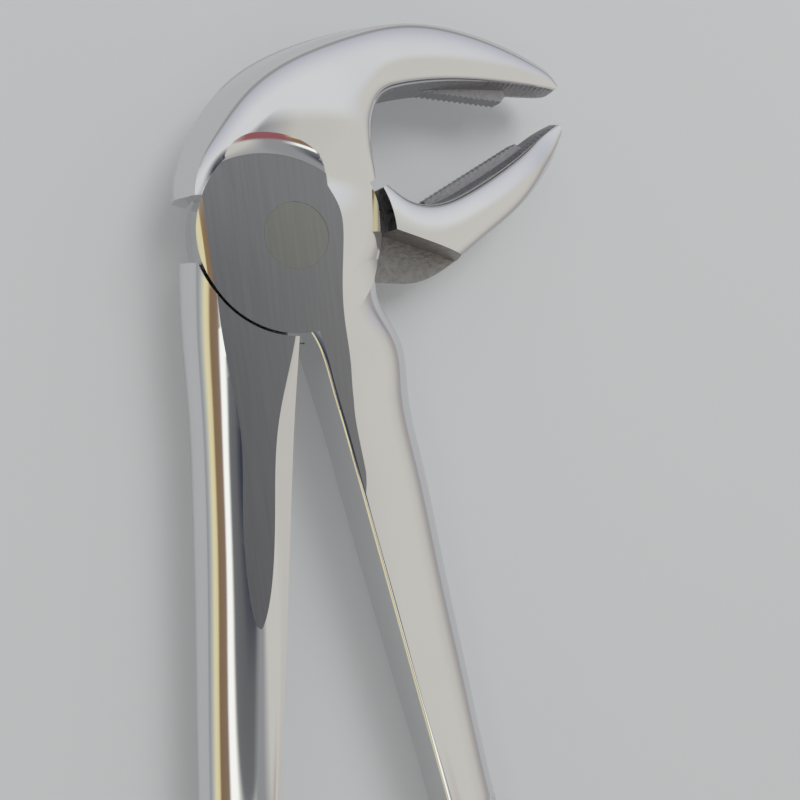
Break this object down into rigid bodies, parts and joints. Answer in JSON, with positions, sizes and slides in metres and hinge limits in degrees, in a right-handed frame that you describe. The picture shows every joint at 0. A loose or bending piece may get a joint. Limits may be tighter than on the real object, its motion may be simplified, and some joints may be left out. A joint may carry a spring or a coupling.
{
  "type": "extraction forceps",
  "caption": "Lower molar extraction forceps: beaks at a right angle to bowed handles, serrated inner faces, lap joint on a flush rivet that lets the jaws open and close.",
  "frame": {"origin": "On the pivot axis, in the plane of the flat back of the joint.", "axes": "+Z is the pivot axis, from the back joint flat to the front one. +Y runs along the middle line between the handles, from the handle ends to the joint. +X runs from the joint towards the beak tips."},
  "size_m": [0.0639, 0.173, 0.0118],
  "materials": {
    "front_forging": "polished stainless steel, ground satin on the joint flats",
    "back_forging": "polished stainless steel, ground satin on the joint flats",
    "rivet": "ground flush with the joint flat"
  },
  "bodies": {
    "back_half": {"lower_beak_half": "back_forging"},
    "front_half": {"upper_beak_half": "front_forging", "pivot_pin": "rivet"}
  },
  "joints": [
    {"name": "pivot", "type": "hinge", "parent": "back_half", "child": "front_half", "pos_m": [0, 0, 0.005], "axis": [0, 0, 1], "range_deg": [-5, 28]}
  ]
}
